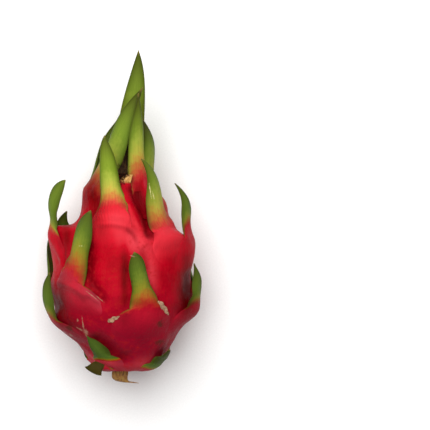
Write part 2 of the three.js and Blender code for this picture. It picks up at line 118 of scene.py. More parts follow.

# The bracts, from the stem's end to the crown. Shape: angle round the fruit from its top towards +X
# in degrees, the root's place along the axis, the plate's length, half width and height, the
# blade's half width and thickness, then its bend and tip sideways, along and outwards from the root.
# Colour: green is where the red starts to turn and where it has turned, as shares of the blade, and
# edges is how much sooner the margins turn. Fresh is 1 for a yellow-green blade and 0 for an olive,
# ageing one, dark_tip darkens the tip, dull turns the blade dark olive and dry turns it papery. Two keys
# paint the scale: a lilac waxy bloom with painted sheen over it, and a paler red that is partly fresher red
# and partly painted highlight.
PLAIN = {
    "cup": 0.7, "narrow": 0, "sharp": 3, "twist": 0, "lean": 0, "draw": 1.5, "skew": 0,
    "swell": (1.9, 12, 13, 8),
    "green": (0.0, 0.45), "fresh": 0.3, "dark_tip": 0.6, "dry": 0, "wax_and_sheen": 0.1, "paler_red_and_sheen": 0.15, "dull": 0,
    "edges": 1,
}
BRACTS = [
    # Round the stem
    {"angle": -37, "at": -45, "plate": (14, 19, 2.4), "blade": (7, 2.2),
     "bend": (-2, 6, 4.4), "tip": (-5.4, 14, 10), "sharp": 1.7, "cup": 0.4,
     "green": (-0.24, -0.02), "fresh": 0, "dark_tip": 0.2, "wax_and_sheen": 0.8, "dull": 0.15},
    # Its dull dark olive is partly painted shade, for a blade curled up in its own shadow
    {"angle": 70, "at": -49, "plate": (12, 16, 2.2), "blade": (9, 2.2),
     "bend": (0.6, 3.4, 6), "tip": (-0.6, 9, 7.9), "sharp": 6, "cup": 0.4,
     "green": (-0.5, -0.1), "fresh": 0.05, "dark_tip": 0.9, "dull": 0.5},
    {"angle": -48, "at": -51.5, "plate": (8, 11, 1.8), "blade": (5.6, 2.2),
     "bend": (-4, -1.4, 4.5), "tip": (-8, 0.8, 10), "sharp": 3, "cup": 0.3,
     "green": (0.1, 0.6), "dull": 1.0},
    {"angle": -118, "at": -46, "plate": (12, 18, 2.2), "blade": (8, 2.2),
     "bend": (1, 5, 4), "tip": (2, 12, 6), "sharp": 2.2, "cup": 0.4},
    {"angle": 122, "at": -44, "plate": (13, 19, 2.2), "blade": (8, 2.2),
     "bend": (0, 6, 4), "tip": (1.5, 13, 6), "sharp": 2, "cup": 0.4},
    {"angle": 176, "at": -47, "plate": (11, 17, 2), "blade": (7.5, 2.2),
     "bend": (0, 4.5, 4.5), "tip": (-1, 10, 6.5), "sharp": 2.4, "cup": 0.3},
    # The lower half of the body
    {"angle": 21, "at": -12, "plate": (27, 31, 3.6), "blade": (9.4, 3),
     "bend": (-6, 20.5, 8), "tip": (-9.6, 34.5, 8), "narrow": 0.3, "sharp": 8, "cup": 0.9,
     "draw": 1.6, "skew": -2, "green": (-0.06, 0.75), "fresh": 0.26, "paler_red_and_sheen": 0.05},
    {"angle": 82, "at": -13, "plate": (26, 27, 3.2), "blade": (9, 2.8),
     "bend": (-0.8, 14, 3.4), "tip": (-1.2, 29, -0.9), "narrow": 0.15, "sharp": 2.6, "twist": -34,
     "swell": (4.8, 0, 7, 5), "green": (0.1, 0.5), "fresh": 0.3, "dull": 0.25},
    {"angle": -80, "at": -20, "plate": (24, 26, 3.2), "blade": (10, 2.8),
     "bend": (1, 16, 6.4), "tip": (1.6, 31, 2.2), "narrow": 0.2, "sharp": 2.6, "twist": 45,
     "swell": (6, 0, 9, 4), "green": (0.05, 0.45), "fresh": 0.2, "wax_and_sheen": 0.4, "dull": 0.2},
    {"angle": 138, "at": -26, "plate": (24, 26, 3), "blade": (8, 2.8),
     "bend": (1, 16, 7), "tip": (3, 31, 5.5), "narrow": 0.2, "sharp": 3},
    {"angle": -140, "at": -28, "plate": (24, 26, 3), "blade": (8, 2.8),
     "bend": (-1, 16, 8), "tip": (-3, 32, 7.5), "narrow": 0.2, "sharp": 3},
    # The upper half of the body
    {"angle": -43, "at": 6, "plate": (28, 30, 3.6), "blade": (9.2, 3.2),
     "bend": (5.6, 27, 3.4), "tip": (9, 42.4, -7), "sharp": 6.5, "cup": 0.9, "narrow": 0.05,
     "draw": 1.4, "skew": 6, "green": (0.02, 0.8), "fresh": 0.26, "wax_and_sheen": 0.8},
    {"angle": 81, "at": 27, "plate": (27, 34, 3.4), "blade": (9, 2.8),
     "bend": (0, 22, 2.4), "tip": (-3.5, 35.4, -9.8), "narrow": 0.2, "sharp": 2.2, "twist": -40,
     "swell": (6.8, 0.5, 12, 5), "green": (0.25, 0.6), "fresh": 0.35, "dull": 0.25},
    {"angle": -84, "at": 31, "plate": (28, 25, 3.4), "blade": (9.6, 2.8),
     "bend": (1, 16, 4.8), "tip": (3, 31, -9.4), "narrow": 0.36, "sharp": 9, "twist": 50,
     "swell": (12, -1.5, 9, 4), "draw": 1.2, "green": (-0.1, 0.3), "fresh": 0.45, "dark_tip": 0.3,
     "dull": 0.12},
    {"angle": -108, "at": 1, "plate": (26, 26, 3), "blade": (9.4, 2.6),
     "bend": (2, 17, 2.8), "tip": (2.4, 34, -0.6), "narrow": 0.1, "sharp": 2.6,
     "swell": (4.4, 3, 11, 8), "fresh": 0.4},
    {"angle": 106, "at": 2, "plate": (26, 26, 3), "blade": (8, 2.8),
     "bend": (-2, 14, -2), "tip": (-4, 25, -10), "narrow": 0.2, "sharp": 3,
     "swell": (4.6, 6, 13, 8)},
    {"angle": -112, "at": 27, "plate": (24, 24, 2.8), "blade": (9, 2.6),
     "bend": (0.6, 11, 3), "tip": (1, 18.5, -4), "twist": -30, "sharp": 2.2, "cup": 0.5, "fresh": 0.1},
    {"angle": 160, "at": 14, "plate": (25, 25, 2.4), "blade": (8, 2.8),
     "bend": (1, 16, 1.5), "tip": (2, 34, -8), "narrow": 0.2, "sharp": 3},
    {"angle": -158, "at": 22, "plate": (24, 24, 2.4), "blade": (7.5, 2.8),
     "bend": (-1, 17, 1), "tip": (-2, 33, -9), "narrow": 0.2, "sharp": 3},
    # The shoulder
    {"angle": 57, "at": 36, "plate": (29, 26, 3.6), "blade": (11, 3.2),
     "bend": (-8.2, 31, 1.4), "tip": (-18.6, 44, -7.6), "sharp": 2.4, "cup": 0.9, "narrow": 0.02,
     "draw": 1.15, "skew": -3, "green": (-0.04, 0.75), "fresh": 0.8, "paler_red_and_sheen": 0.8, "edges": -0.3},
    {"angle": -13, "at": 46, "plate": (30, 21, 3.6), "blade": (9.8, 3.6),
     "bend": (-2, 33.2, 8), "tip": (-2.4, 49, 5), "narrow": 0.25, "sharp": 4, "cup": 1.1,
     "draw": 1.1, "green": (0.09, 0.64), "fresh": 1.0, "dark_tip": 0.8, "paler_red_and_sheen": 1},
    {"angle": 140, "at": 42, "plate": (22, 22, 2.8), "blade": (8.5, 2.8),
     "bend": (-2, 14, 2), "tip": (-3, 24, -6), "narrow": 0.1, "sharp": 2.6},
    {"angle": -172, "at": 54, "plate": (20, 20, 2.4), "blade": (8, 2.8),
     "bend": (1, 24, 4), "tip": (2, 42, 1), "narrow": 0.1, "sharp": 2.6, "fresh": 0.7},
    # The crown
    {"angle": 8, "at": 65, "plate": (20, 12, 1.6), "blade": (3.8, 1.4),
     "bend": (-0.5, 3, 2.4), "tip": (4.6, 6.4, 0.6), "sharp": 4, "cup": 0.3,
     "green": (3, 4), "dry": 1},
    {"angle": -60, "at": 62, "plate": (22, 12, 3), "blade": (11.4, 2.8),
     "bend": (8.6, 40, -15.6), "tip": (13.9, 65.5, -31), "sharp": 2.4, "cup": 1, "lean": 25,
     "twist": 40, "swell": (1.2, 3, 8, 8), "green": (-0.06, 0.62), "fresh": 0.62, "dark_tip": 0.9,
     "paler_red_and_sheen": 0},
    {"angle": 44, "at": 61, "plate": (20, 13, 2.2), "blade": (8.8, 2.8),
     "bend": (-7, 38, 1.6), "tip": (-1.4, 63, -5.6), "sharp": 2.6, "cup": 1, "draw": 1.1,
     "green": (0.12, 0.75), "fresh": 0.8, "dark_tip": 0.9},
    {"angle": 78, "at": 60, "plate": (20, 16, 2.4), "blade": (13.4, 2.6),
     "bend": (2.8, 28, 1.2), "tip": (0, 48.5, -10.6), "sharp": 2.2, "twist": -24, "cup": 0.9,
     "green": (-0.35, 0.8), "fresh": 0.45, "dark_tip": 1.0},
    {"angle": 172, "at": 62, "plate": (18, 16, 2.4), "blade": (10.5, 2.8),
     "bend": (-10.4, 63, -14), "tip": (-10.8, 91, -21), "sharp": 3.4, "cup": 0.6, "narrow": 0.08,
     "green": (-0.1, 0.75), "fresh": 0.7, "dark_tip": 0.8,
     "edges": -0.4},
    {"angle": -122, "at": 60, "plate": (16, 11, 2.4), "blade": (8, 2.6),
     "bend": (-3.6, 27, -3), "tip": (-15, 47, -10), "sharp": 2.6, "cup": 0.9,
     "swell": (1.2, 3, 8, 8), "fresh": 0.6},
    {"angle": 126, "at": 60, "plate": (18, 16, 2.4), "blade": (8, 2.6),
     "bend": (-3, 22, -1), "tip": (-6, 36, -11), "sharp": 2.6, "cup": 0.9, "fresh": 0.6},
]

# Bracts that face up more than this, as the cosine of their angle, get a grid twice as fine
FRONT = 0.5

# The fibres of a bract, in millimetres, drawn coarser than they are so that they show
FIBRES = {"apart": 0.9, "length": 16}
UNDERSIDE = 40.0  # how far along the pattern the underside starts

# A mark's edge is where two patterns, each with its weight, and the distance from the mark's middle
# add up to more than full and less than none
MARK_EDGE = {"blotches": 2.4, "grain": 1.6, "none": 3.1, "full": 2.4}

# Marks on the skin: middle X, Y and Z, then half lengths along X, Y and Z, and the turn in degrees
CORKY_MARKS = [(-24, -24, 28, 0.6, 5, 12, 8), (-22.4, -30, 28, 1.6, 2.4, 12, 20),
               (-26, -28, 28, 0.6, 3.6, 12, 62), (-27.4, -22, 30, 0.7, 0.9, 12, 0),
               (-33, -33, 14, 1.8, 2.2, 4, 30), (-29, -38, 15, 2.2, 1.8, 4, 30),
               (-17.4, -6.4, 40, 0.35, 5, 12, 52), (-13, -8, 42, 0.3, 3.4, 12, 50),
               (8.2, 19.4, 46, 2.6, 0.5, 12, -8)]
BRUISES = [(25.4, -24.4, 28, 3.2, 2.6, 12, 0), (25, -36.4, 20, 3.8, 2, 12, 0),
           (7.6, 3, 58, 1, 1.3, 12, 0), (7.4, 15, 60, 0.8, 1, 12, 0), (-33, -27, 20, 2, 3, 6, 30)]
PALE_MARKS = [(-24.4, 25.6, 44, 2.2, 0.6, 12, -12), (19.2, 61, 24, 0.35, 5.5, 12, 8),
              (21.4, 57, 22, 0.3, 4, 12, 12)]
# Painted shade over the mouth of the pit, where it lies in shadow
PIT_SHADE = (0.6, 70.6, 15, 5.2, 7.6, 14, -14)

# Soft patches of the upper side, most of them painted highlight and painted shade and a few the skin's own
# paler and browner colour.
# Each is paler than the rest or, where the strength is below 0, deeper: middle X and Y, half lengths along X
# and Y, the turn in degrees, and the strength
PAINTED_LIGHT_AND_TONE = [
    # Painted shade on the left shoulder, and painted shade and highlight on the two sides of the valley right
    # of the pit
    (-17.5, 57, 5, 20, 12, -1), (11.6, 62, 3.2, 6, 0, -0.7), (14.6, 47, 2.6, 9, 21, -0.5),
    (15.6, 67, 1.2, 4.5, 6, 0.9),
    # Painted highlight under the crown's front bracts, and on the right bulge
    (8, 29, 8, 5, -35, 0.8), (-5, 43, 8, 4, 0, 0.5), (27, 36, 8, 7, 20, 0.3), (19.5, 5, 3, 10, 0, 0.6),
    # In the shade of the middle bract and of the left wing
    (3, 7, 2, 15, 0, -1), (-20.6, 15, 2.6, 12, 4, -0.5), (-34.6, 31, 3, 7, 0, -0.9),
    (43, -8, 6, 10, 15, -0.6),
    # Below the middle bract a browner patch, beside the lowest one a painted shadow, and below it two paler
    # patches
    (16, -10.5, 12, 2.4, -6, -0.5), (-8.6, -39.4, 12, 2.8, -34, -0.7), (-13, -48, 8, 2.6, -10, 0.6),
    (13.3, -51, 9, 3, 8, 0.6),
    # Painted shade on both flanks, where they turn away from the light, and a paler patch on the left wing
    (-39, -10, 3, 11, 0, -0.9), (-44, 14, 3, 8, 0, 0.4), (-33, -24, 4, 9, 30, -0.5),
    (42.6, 2, 2.6, 13, 0, -0.8),
]

# Dry scraps that curl off the skin: angle and place of both ends, half width, height of both ends
SCRAPS = [((-13, -22.4), (-0.8, -18.2), 1.4, (0.2, 1.4)), ((33, -9), (47, -18.2), 1.6, (3.2, 0.8))]
# Their thickness, how far their edges curl up, the height of their wave, and how ragged they are
SCRAP = {"thick": 0.4, "curl": 0.35, "wave": 0.3, "ragged": 0.22}

# The withered flower: radius, and place along the axis
FLOWER = np.array([
    [5.2, 53.2], [7.4, 58], [7.8, 65], [6.9, 71], [5.2, 77], [4.9, 85], [5.6, 92], [4.6, 97],
])
FLOWER_LEAN = -1.6

# The stub of the stem and its dry twig: radius and middle of each section, X and then Y
STEM = np.array([
    [4.6, -3.6, -52.2], [5.2, -4.2, -58], [4, -3.4, -60.8], [1.4, 0.2, -62.8], [0.6, 4.5, -63.3],
    [0.15, 8.3, -63.8],
])
STEM_FLATNESS = 0.7

# The picture: its width at the height of the body's axis, where its middle is, and the sensor's width
PICTURE_WIDTH = 279.5
PICTURE_MIDDLE = (59.6, 41.2)
SENSOR_WIDTH = 36

# The stage, in metres
FLOOR_HALF = 6.0
SOFTBOX = {"size": 1.0, "place": (-0.08, 0.28, 0.9), "aim": (0.0, 0.02, 0.05)}

RIND_NAME = "Pitaya rind, waxy and leathery"


def linear(colour):
    """A hex sRGB colour as linear red, green, blue and alpha."""
    parts = np.array([int(colour[i:i + 2], 16) for i in (1, 3, 5)]) / 255
    parts = np.where(parts <= 0.04045, parts / 12.92, ((parts + 0.055) / 1.055) ** 2.4)
    return (*parts.tolist(), 1.0)


def mix(a, b, share):
    return a + (b - a) * share


def smooth(x):
    """0 below 0, 1 above 1, and the cubic 3x2 - 2x3 between them."""
    x = np.clip(x, 0, 1)
    return x * x * (3 - 2 * x)


def bell(a, b):
    """The exponential of minus half the squared distance (a, b)."""
    return np.exp(-(a * a + b * b) / 2)


def unit(vectors):
    return vectors / np.linalg.norm(vectors, axis=-1, keepdims=True)


def dot(a, b):
    return np.sum(a * b, axis=-1, keepdims=True)


def outward(angle):
    """Away from the axis, at an angle from the top towards +X."""
    return np.stack([np.sin(angle), np.zeros_like(angle), np.cos(angle)], -1)


def sideways(angle):
    """Round the fruit, the way that the angle grows."""
    return np.stack([np.cos(angle), np.zeros_like(angle), -np.sin(angle)], -1)


ALONG_AXIS = np.array([0.0, 1.0, 0.0])


def spline(points, share):
    """A uniform Catmull-Rom curve: on each span a cubic whose slope at a point is half the step
    between that point's neighbours. Returns places and slopes at shares 0 to 1 of the spans."""
    place = np.clip(share, 0, 1) * (len(points) - 1)
    start = np.minimum(place.astype(int), len(points) - 2)
    t = (place - start)[..., None]
    last = len(points) - 1
    before, a, b, after = (points[np.clip(start + k, 0, last)] for k in (-1, 0, 1, 2))
    slope_a, slope_b = (b - before) / 2, (after - a) / 2
    cubic = 2 * a - 2 * b + slope_a + slope_b
    square = -3 * a + 3 * b - 2 * slope_a - slope_b
    return ((cubic * t + square) * t + slope_a) * t + a, (3 * cubic * t + 2 * square) * t + slope_a


class Outline:
    """The body's outline, walked by the distance along it from the stem's end."""

    def __init__(self, points, steps=6000):
        places, slopes = spline(points, np.linspace(0, 1, steps))
        walked = np.linalg.norm(np.diff(places, axis=0), axis=1)
        self.along = np.concatenate([[0], np.cumsum(walked)])
        self.length = self.along[-1]
        self.places, self.slopes = places, unit(slopes)
        self.rim_top = self.along[np.argmax(places[:, 1])]

    def wall(self, along):
        """Radius, place along the axis, and the outward normal's two parts, at a distance."""
        columns = [*self.places.T, self.slopes[:, 1], -self.slopes[:, 0]]
        return [np.interp(along, self.along, column) for column in columns]

    def at(self, y):
        """The distance at which the outer wall reaches a place along the axis."""
        reached = (self.places[:, 1] >= y) | (self.along >= self.rim_top)
        return self.along[np.argmax(reached)]


outline = Outline(OUTLINE)
RIM = outline.at(RIM_Y)
for bract in BRACTS:
    for key, value in PLAIN.items():
        bract.setdefault(key, value)
    bract["angle"] = math.radians(bract["angle"])
    bract["along"] = outline.at(bract["at"])


def lumps(angle, along):
    """Low lumps of the skin: a sum of sines, whole numbers of them round the fruit."""
    waves = [(5, 0.11, 0.4, 0.5), (8, -0.19, 1.7, 0.35), (13, 0.27, 2.9, 0.2), (21, 0.43, 0.9, 0.1)]
    return sum(height * np.sin(count * angle + pitch * along + start)
               for count, pitch, start, height in waves)


def relief(angle, along, r):
    """How far the skin stands over the plain outline: for each scale, a bell below its bract less a
    narrower bell in the angle above it, fading to nothing at the stem's end and in the pit."""
    height = 0
    for b in BRACTS:
        turned = np.arctan2(np.sin(angle - b["angle"]), np.cos(angle - b["angle"]))
        across, up = r * turned, along - b["along"]
        swell, below, length, drop = b["swell"]
        over = up + below
        height = height + swell * bell(across / SWELL_WIDTH, over / np.where(over < 0, length, drop))
        height = height - ANGLE["depth"] * bell(
            across / ANGLE["width"], (up - ANGLE["above"]) / ANGLE["length"])
    return height * smooth(r / CALM_RADIUS) * (1 - smooth((along - RIM + 6) / RIM_FADE))


def folds(x, y):
    """The low folds, seen from above: for each, a bell of the distance to its line, faded at its
    ends, and a patch of pleats, sines across it under a bell."""
    height = 0 * x
    for tall, width, line in FOLDS:
        line = np.array(line, dtype=float)
        steps = np.linalg.norm(np.diff(line, axis=0), axis=1)
        walked = np.concatenate([[0], np.cumsum(steps)]) / steps.sum()
        nearest, share = np.full(x.shape, np.inf), 0 * x
        for a, b, walked_a, walked_b in zip(line, line[1:], walked, walked[1:]):
            along = np.clip(((x - a[0]) * (b[0] - a[0]) + (y - a[1]) * (b[1] - a[1]))
                            / np.sum((b - a) ** 2), 0, 1)
            away = np.hypot(x - mix(a[0], b[0], along), y - mix(a[1], b[1], along))
            share = np.where(away < nearest, mix(walked_a, walked_b, along), share)
            nearest = np.minimum(nearest, away)
        fade = smooth(share / FOLD_FADE) * smooth((1 - share) / FOLD_FADE)
        height = height + tall * bell(nearest / width, 0) * fade
    across, up = x - PLEATS["middle"][0], y - PLEATS["middle"][1]
    inside = bell(across / PLEATS["reach"][0], up / PLEATS["reach"][1])
    waves = np.sin(2 * np.pi * across / PLEATS["spacing"] + 1.2 * np.sin(up / 2.3) + 0.5 * across)
    return height + PLEATS["height"] * inside * waves


def leaned(points):
    """Moves points sideways as the axis leans: by a smooth step towards each end."""
    y = points[..., 1]
    shift = (LEAN["stem"] * smooth((-y - LEAN["calm"]) / LEAN["length"])
             + LEAN["crown"] * smooth((y - LEAN["calm"]) / LEAN["length"]))
    return points + np.stack([shift, 0 * shift, 0 * shift], -1)


def skin(angle, along, height=0.0):
    """The outline turned round the axis, moved out along its own normal by the relief, the lumps
    and a height."""
    r, y, normal_r, normal_y = outline.wall(along)
    calm = smooth(r / CALM_RADIUS) * (1 - smooth((along - RIM) / RIM_FADE))
    facing = smooth(np.cos(angle) / 0.3)
    folded = facing * folds(*np.broadcast_arrays(r * np.sin(angle), y)) * (along < outline.rim_top)
    out = relief(angle, along, r) + LUMP_HEIGHT * calm * lumps(angle, along) + folded + height
    radius = np.asarray(r + out * normal_r)
    place = np.asarray(y + out * normal_y)
    angle, radius, place = np.broadcast_arrays(angle, radius, place)
    return leaned(outward(angle) * radius[..., None] + ALONG_AXIS * place[..., None]) + CENTRE


def round_it(columns):
    """Angles once round a piece, in the order that turns its faces outwards."""
    return -2 * np.pi * np.arange(columns) / columns


def section(count):
    """Points round a blade: shares of the half width, and of half the thickness, where the height
    is the root of 1 - |across| cubed, so the edges are fuller than an ellipse's."""
    turn = 2 * np.pi * np.arange(count) / count
    across = np.cos(turn)
    rise = np.sign(np.sin(turn)) * np.sqrt(np.maximum(1 - np.abs(across) ** EDGE_FULLNESS, 0))
    return across, rise


def plate_middle(b, down):
    """Place along the outline and height of the plate's middle, at a share of the way down it."""
    length, _, height = b["plate"]
    half_thick = mix(b["blade"][1], PLATE["foot"], down) / 2
    lifted = (height + PLATE["sunk"]) * (1 - down ** b["draw"]) ** PLATE["rise"]
    along = b["along"] - length * down ** b["draw"]
    return along, lifted - PLATE["sunk"] - half_thick, half_thick


def plate_surface(b, down, across, rise):
    """Rings that follow the skin: each is a flat figure wrapped round the body, as wide as the mix
    of the blade's width and the foot's, lifted as the plate's middle is, and less at its margins.
    One margin may start lower than the other by the skew."""
    along, height, half_thick = plate_middle(b, down)
    half = mix(b["blade"][0], b["plate"][1], down)
    turn_radius = np.maximum(outline.wall(np.maximum(along, 1))[0], half * 0.7)
    sinking = PLATE["margin"] * across ** 2 * smooth(down / 0.7) * (height + PLATE["sunk"] + half_thick)
    along = np.maximum(along - b["skew"] * across, 1)
    return skin(b["angle"] + across * half / turn_radius, along, height - sinking + rise * half_thick)


def blade_line(b):
    """The four points of the cubic curve down the blade's middle."""
    along, height, _ = plate_middle(b, np.array([0.0, 0.15]))
    start, below = skin(np.full(2, b["angle"]), np.maximum(along, 1), height)
    out, side = outward(np.array(b["angle"])), sideways(np.array(b["angle"]))
    leaving = unit(start - below)
    lean = -math.radians(b["lean"])
    leaving = (leaving * math.cos(lean) + np.cross(out, leaving) * math.sin(lean)
               + out * dot(out, leaving) * (1 - math.cos(lean)))
    bend, tip = (start + side * p[0] + ALONG_AXIS * p[1] + out * p[2]
                 for p in (b["bend"], b["tip"]))
    return start, start + leaving * 0.3 * np.linalg.norm(tip - start), bend, tip


def blade_surface(b, line, up, across, rise):
    """Rings along the cubic curve: each is bent round a circle that tightens from the body's to the
    blade's own cup, narrows to the tip, and is turned by the twist."""
    p0, p1, p2, p3 = line
    centre = (p0 * (1 - up) ** 3 + 3 * p1 * up * (1 - up) ** 2
              + 3 * p2 * up ** 2 * (1 - up) + p3 * up ** 3)
    forward = unit((p1 - p0) * (1 - up) ** 2 + 2 * (p2 - p1) * up * (1 - up) + (p3 - p2) * up ** 2)
    out = outward(np.array(b["angle"]))
    face = unit(out - forward * dot(out, forward))
    twist = math.radians(b["twist"]) * smooth(up)
    face = face * np.cos(twist) + np.cross(forward, face) * np.sin(twist)
    side = np.cross(forward, face)
    wide, thick = b["blade"]
    r, _, normal_r, _ = outline.wall(b["along"])
    bow = mix(normal_r / r, b["cup"] / wide, smooth(up / 0.35))
    half = wide * (1 - b["narrow"] * smooth(up / 0.4)) * (1 - up ** b["sharp"])
    half_thick = mix(thick, TIP_THICK, up) / 2
    seed = b["at"] + 7 * b["angle"]
    # The margins wave a little, each blade in its own way
    wave = smooth(up / 0.3) * np.abs(across) ** 3
    half = half * (1 + 0.035 * wave * np.sin(11 * up + seed) * np.sign(across + 1e-9))
    sway = 0.5 * wave * np.sin(9 * up + 2.1 * seed + np.sign(across))
    turn = across * half * bow
    radius = 1 / bow + rise * half_thick + sway
    return (centre[:, None, :] + face[:, None, :] * (radius * np.cos(turn) - 1 / bow)[..., None]
            + side[:, None, :] * (radius * np.sin(turn))[..., None])


def bract_surface(b, columns, plate_rows, blade_rows):
    """The plate's rings and then the blade's, ending in a point. What the blade's first ring misses
    the plate's last by fades out along the blade. Also returns each ring's place as a share of the
    blade, which is below 0 on the plate, and the section."""
    across, rise = section(columns)
    down = np.linspace(1, 0, plate_rows)[:, None]
    plate = plate_surface(b, down, across, rise)
    line = blade_line(b)
    up = (np.arange(blade_rows + 1) / (blade_rows + 0.35))[:, None]
    blade = blade_surface(b, line, up, across, rise)
    missed = plate[-1] - blade[0]
    blade = blade + missed * (1 - smooth(up / 0.4))[..., None]
    reach = np.linalg.norm(np.array(b["tip"]))
    share = np.concatenate([-b["plate"][0] * down[:, 0] ** b["draw"] / reach, up[1:, 0]])
    return np.concatenate([plate, blade[1:]]), line[3], share, across, rise


def closed_mesh(name, grid, end=None, attributes=None):
    """A closed surface over rings of points in millimetres. Each end is drawn to a point, which is
    the middle of its ring where none is given. Attributes are arrays over the grid, and their ends
    take the mean of the nearest ring."""
    rows, columns = grid.shape[:2]
    ends = [grid[0].mean(0), grid[-1].mean(0) if end is None else end]
    points = np.concatenate([grid.reshape(-1, 3), ends])
    points[:, 2] = np.maximum(points[:, 2], 0)
    here = np.arange(columns)
    after = (here + 1) % columns
    low = (np.arange(rows - 1) * columns)[:, None]
    quads = np.stack([low + here, low + columns + here, low + columns + after, low + after], -1)
    first, last = rows * columns, rows * columns + 1
    top = (rows - 1) * columns
    caps = np.concatenate([
        np.stack([np.full(columns, first), here, after], -1),
        np.stack([np.full(columns, last), top + after, top + here], -1),
    ])
    mesh = bpy.data.meshes.new(name)
    mesh.from_pydata(points * MM, [], quads.reshape(-1, 4).tolist() + caps.tolist())
    for key, values in (attributes or {}).items():
        values = np.broadcast_to(values, (rows, columns))
        full = np.concatenate([values.ravel(), [values[0].mean(), values[-1].mean()]])
        layer = mesh.attributes.new(key, "FLOAT", "POINT")
        layer.data.foreach_set("value", full.astype(np.float32))
    mesh.polygons.foreach_set("use_smooth", np.ones(len(mesh.polygons), dtype=bool))
    mesh.update()
    return mesh


def place_piece(name, mesh, material, slot, *nodes):
    """Puts a finished mesh into the scene, riding on the fruit and standing for its solids."""
    mesh.materials.append(material)
    piece = bpy.data.objects.new(name, mesh)
    bpy.context.scene.collection.objects.link(piece)
    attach(piece, BODY)
    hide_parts(*nodes)


def add(tree, kind, inputs=None, stops=None, **settings):
    """Adds a shader node with its settings. An input that is a socket is linked, and any other is a
    value. Stops are a colour ramp's places and its colours, as hex or as a setting gives them."""
    made = tree.nodes.new("ShaderNode" + kind)
    for key, value in settings.items():
        setattr(made, key, value)
    for key, value in (inputs or {}).items():
        if isinstance(value, bpy.types.NodeSocket):
            tree.links.new(value, made.inputs[key])
        else:
            made.inputs[key].default_value = value
    if stops:
        while len(made.color_ramp.elements) < len(stops):
            made.color_ramp.elements.new(0.5)
        for element, (place, colour) in zip(made.color_ramp.elements, stops):
            element.position = place
            element.color = linear(colour) if isinstance(colour, str) else colour
    return made


def new_material(name):
    """An empty material, with its nodes and the place on the piece that its patterns read."""
    material = bpy.data.materials.new(name)
    material.use_nodes = True
    tree = material.node_tree
    tree.nodes.clear()
    return material, tree, add(tree, "TexCoord").outputs["Object"]


MULTIPLY = {"data_type": "RGBA", "blend_type": "MULTIPLY"}
COLOUR = {"data_type": "RGBA"}


def marked(tree, mm, blotches, grain, marks, strength):
    """Where any of the marks lies: full in the middle of an ellipsoid, broken up towards its edge by
    the two patterns."""
    total = None
    for x, y, z, half_x, half_y, half_z, turn in marks:
        local = add(tree, "Mapping", {
            "Vector": mm, "Location": tuple(CENTRE + (x, y, z)), "Rotation": (0, 0, math.radians(turn)),
            "Scale": (half_x, half_y, half_z)}, vector_type="TEXTURE").outputs[0]
        away = add(tree, "VectorMath", {0: local}, operation="LENGTH").outputs["Value"]
        for pattern, weight in ((blotches, MARK_EDGE["blotches"]), (grain, MARK_EDGE["grain"])):
            away = add(tree, "Math", {0: pattern, 1: weight, 2: away},
                       operation="MULTIPLY_ADD").outputs[0]
        mask = add(tree, "MapRange", {
            "Value": away, "From Min": MARK_EDGE["none"], "From Max": MARK_EDGE["full"],
            "To Max": strength}, interpolation_type="SMOOTHSTEP").outputs["Result"]
        total = mask if total is None else add(
            tree, "Math", {0: total, 1: mask}, operation="MAXIMUM").outputs[0]
    return total


